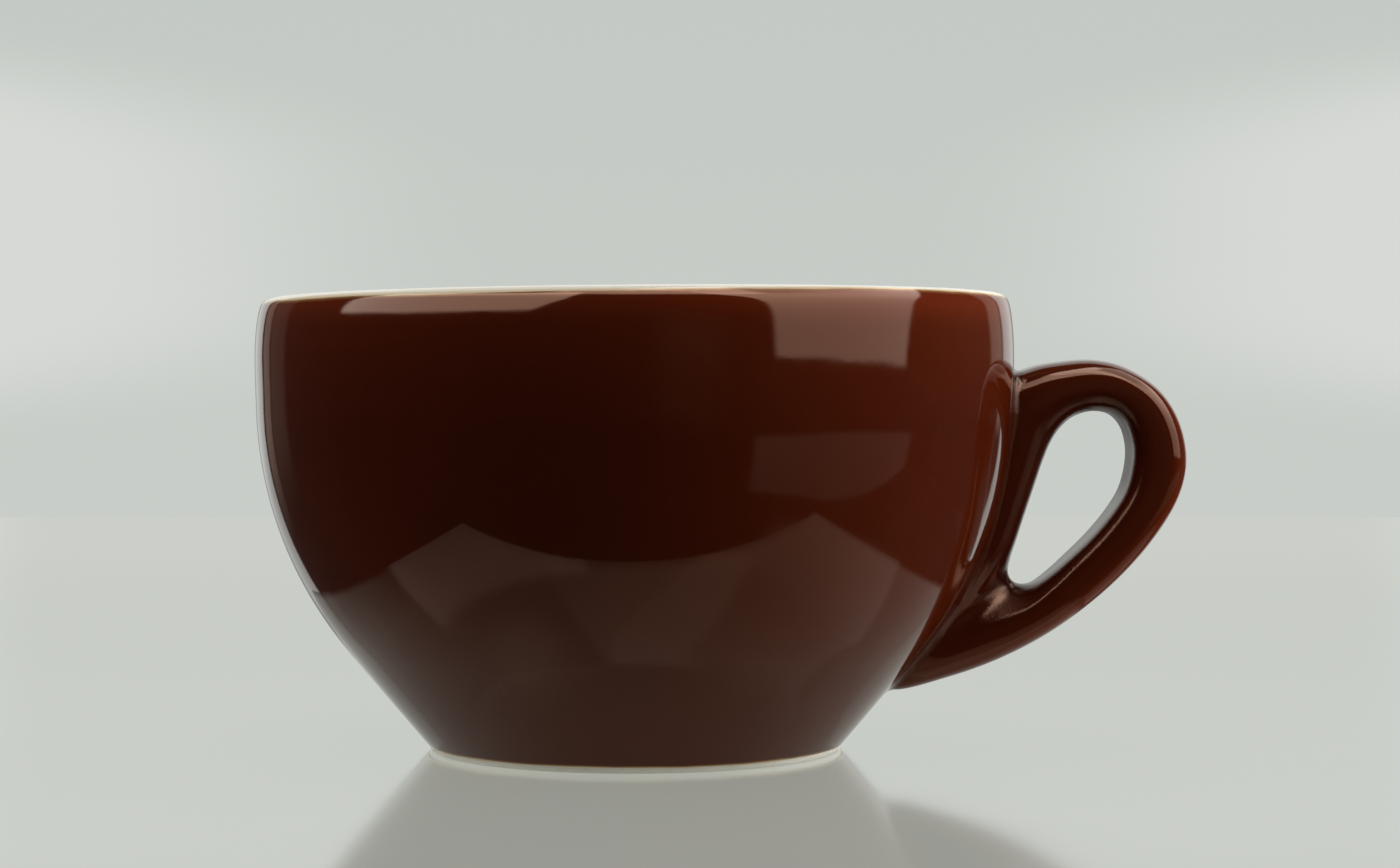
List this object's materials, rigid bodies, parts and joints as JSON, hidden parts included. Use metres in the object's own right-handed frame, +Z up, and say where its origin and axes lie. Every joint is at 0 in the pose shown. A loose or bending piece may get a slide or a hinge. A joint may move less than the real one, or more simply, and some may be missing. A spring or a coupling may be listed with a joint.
{
  "type": "cappuccino cup",
  "caption": "Round thick-walled porcelain coffee cup with an ear handle, glossy brown glaze outside and white glaze inside and on the lip, standing on a flat foot ring.",
  "frame": {"origin": "centre of the plane that the cup stands on, on the axis of the bowl", "axes": "+Z up along the axis of the bowl, +X towards the handle"},
  "size_m": [0.1156, 0.094, 0.0561],
  "materials": {
    "bare_porcelain": "satin, unglazed",
    "slip": "matt, unglazed",
    "brown_glaze": "high gloss",
    "brown_glaze_bead": "gloss, slightly uneven",
    "white_glaze": "high gloss",
    "clear_glaze": "gloss"
  },
  "bodies": {
    "root": {"cup_body": "bare_porcelain", "handle": "bare_porcelain", "handle_slip_joint": "slip", "outside_brown_glaze": "brown_glaze", "handle_brown_glaze": "brown_glaze", "joint_bead": "brown_glaze_bead", "inside_white_glaze": "white_glaze", "base_clear_glaze": "clear_glaze"}
  },
  "joints": []
}
